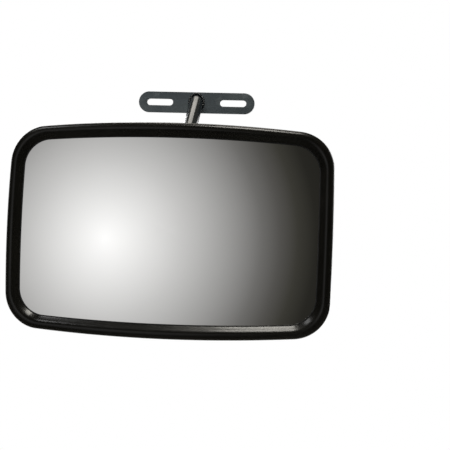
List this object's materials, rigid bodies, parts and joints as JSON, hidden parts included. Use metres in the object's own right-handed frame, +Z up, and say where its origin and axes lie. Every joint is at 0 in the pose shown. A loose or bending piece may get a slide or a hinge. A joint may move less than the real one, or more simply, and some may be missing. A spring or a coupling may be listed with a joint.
{
  "type": "convex security mirror",
  "caption": "Rectangular convex security mirror in a thick glossy black frame, held by a clamp and tilt yoke on a bent tube wall bracket with a slotted plate",
  "frame": {"origin": "centre of the wall plate's back face, midway between its two slots", "axes": "+Z up, +Y into the wall, so the mirror faces -Y, and +X to the right of someone who looks at the mirror"},
  "size_m": [0.4572, 0.2861, 0.3856],
  "materials": {
    "plate_steel": "satin blue-grey paint",
    "black_gloss_paint": "glossy black paint",
    "black_plastic": "smooth black plastic",
    "liner_plastic": "dull black liner",
    "clamp_paint": "satin black powder coat",
    "zinc_fastener": "zinc-plated steel",
    "friction_nylon": "off-white nylon",
    "yoke_paint": "satin black powder coat",
    "knob_plastic": "fine-textured black plastic",
    "insert_brass": "turned brass",
    "backing_steel": "galvanised sheet",
    "black_screw": "black-zinc screws",
    "cover_plastic": "textured black moulding",
    "frame_plastic": "glossy warm-black moulding",
    "gasket_rubber": "matt black rubber",
    "mirror_acrylic": "convex mirrored acrylic",
    "sheet_plastic": "grey protective sheet",
    "foam_grey": "closed-cell foam"
  },
  "bodies": {
    "bracket": {"wall_plate": "plate_steel", "arm_tube": "black_gloss_paint", "weld_bead": "black_gloss_paint", "tube_end_cap": "black_plastic"},
    "sleeve": {"clamp_sleeve": "liner_plastic"},
    "clamp": {"clamp_rear_jaw": "clamp_paint", "clamp_front_jaw": "clamp_paint", "clamp_bolts": "zinc_fastener", "clamp_washers": "zinc_fastener", "clamp_nuts": "zinc_fastener", "tilt_friction_washers": "friction_nylon"},
    "yoke": {"tilt_yoke": "yoke_paint", "tilt_bolt": "zinc_fastener", "tilt_outer_washers": "zinc_fastener", "roll_friction_disc": "friction_nylon"},
    "knob": {"tilt_knob": "knob_plastic", "knob_insert": "insert_brass"},
    "head": {"roll_bolt": "zinc_fastener", "roll_washer": "zinc_fastener", "roll_nut": "zinc_fastener", "backing_plate": "backing_steel", "backing_plate_screws": "black_screw", "rear_cover": "cover_plastic", "cover_screws": "black_screw", "bezel_frame": "frame_plastic", "edge_gasket": "gasket_rubber", "mirror_face": "mirror_acrylic", "backing_sheet": "sheet_plastic", "foam_blocks": "foam_grey"}
  },
  "joints": [
    {"name": "height_slide", "type": "slide", "parent": "bracket", "child": "sleeve", "axis": [0, 0.3662, 0.9305], "range_m": [-0.006, 0.02]},
    {"name": "pan_swivel", "type": "hinge", "parent": "sleeve", "child": "clamp", "pos_m": [0, -0.17427, -0.23196], "axis": [0, 0.3662, 0.9305], "range_deg": [-45, 45]},
    {"name": "head_tilt", "type": "hinge", "parent": "clamp", "child": "yoke", "pos_m": [0, -0.20591, -0.21951], "axis": [1, 0, 0], "range_deg": [-20, 30]},
    {"name": "head_roll", "type": "hinge", "parent": "yoke", "child": "head", "pos_m": [0, -0.28451, -0.21951], "axis": [0, -1, 0], "range_deg": [-90, 90]},
    {"name": "knob_turn", "type": "hinge", "parent": "yoke", "child": "knob", "pos_m": [0, -0.20591, -0.21951], "axis": [1, 0, 0], "continuous": true}
  ]
}
